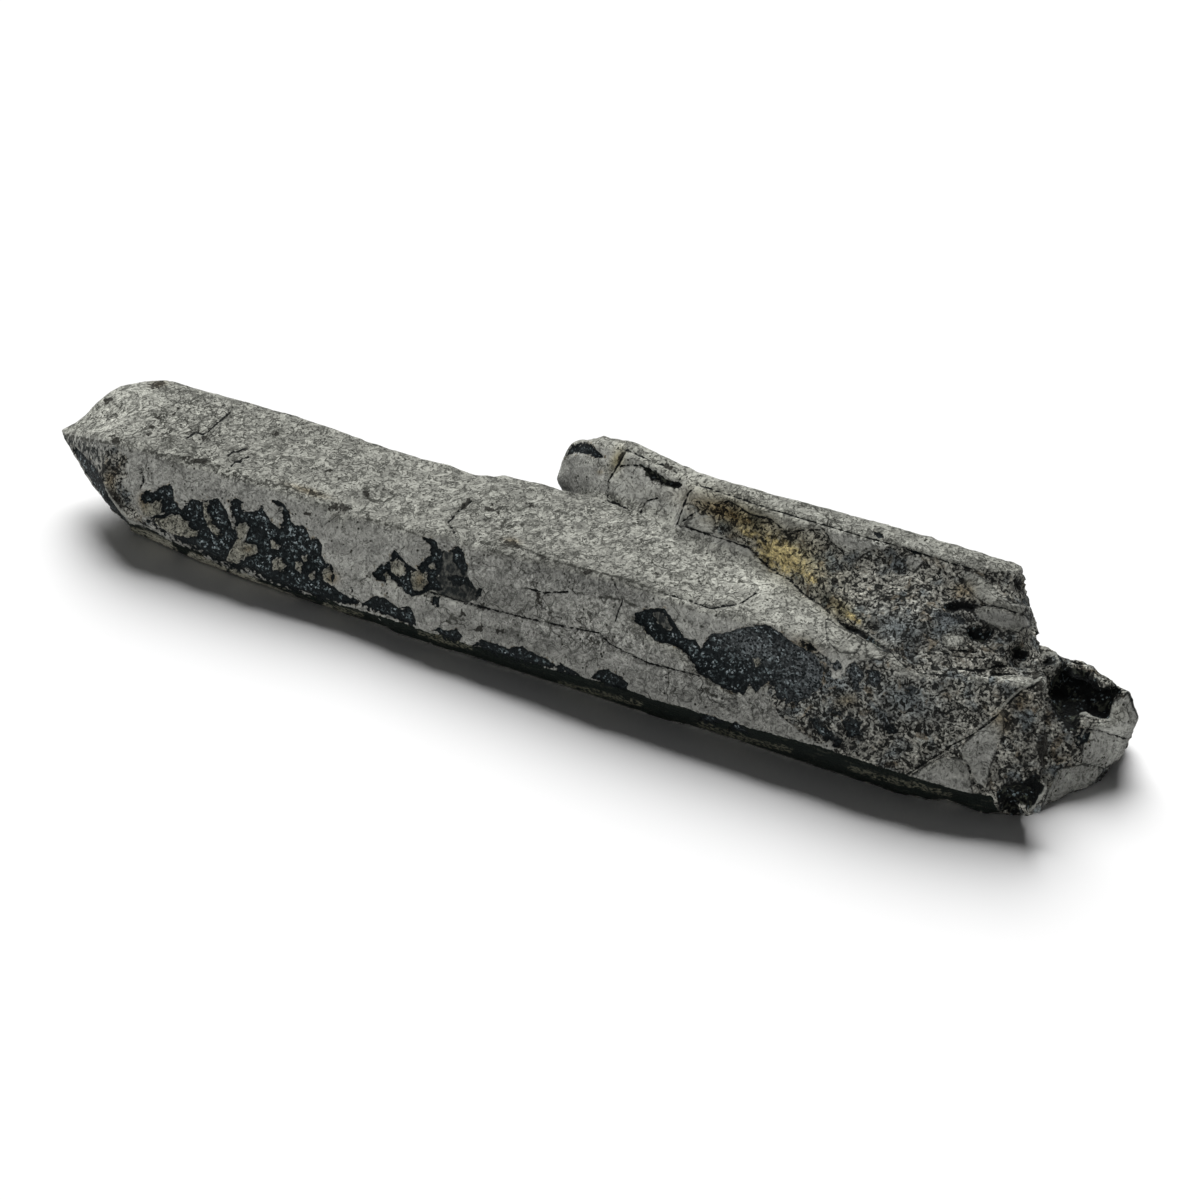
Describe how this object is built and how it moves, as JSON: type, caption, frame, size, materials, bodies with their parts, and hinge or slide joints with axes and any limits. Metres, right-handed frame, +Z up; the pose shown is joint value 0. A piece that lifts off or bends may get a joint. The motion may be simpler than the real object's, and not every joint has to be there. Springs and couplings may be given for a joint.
{
  "type": "black quartz crystal cluster",
  "caption": "Long dark quartz crystal with a pointed tip and smaller crystals grown along its back, under a flaking grey crust.",
  "frame": {"origin": "middle of the solid's box, on the plane that it rests on", "axes": "+X along the main crystal towards its broken end, +Y towards the smaller crystals at the back, +Z up"},
  "size_m": [0.1638, 0.0346, 0.0259],
  "materials": {
    "crusted_quartz": "matt grey mineral crust over glassy blue-black quartz"
  },
  "bodies": {
    "root": {"black_quartz": "crusted_quartz"}
  },
  "joints": []
}
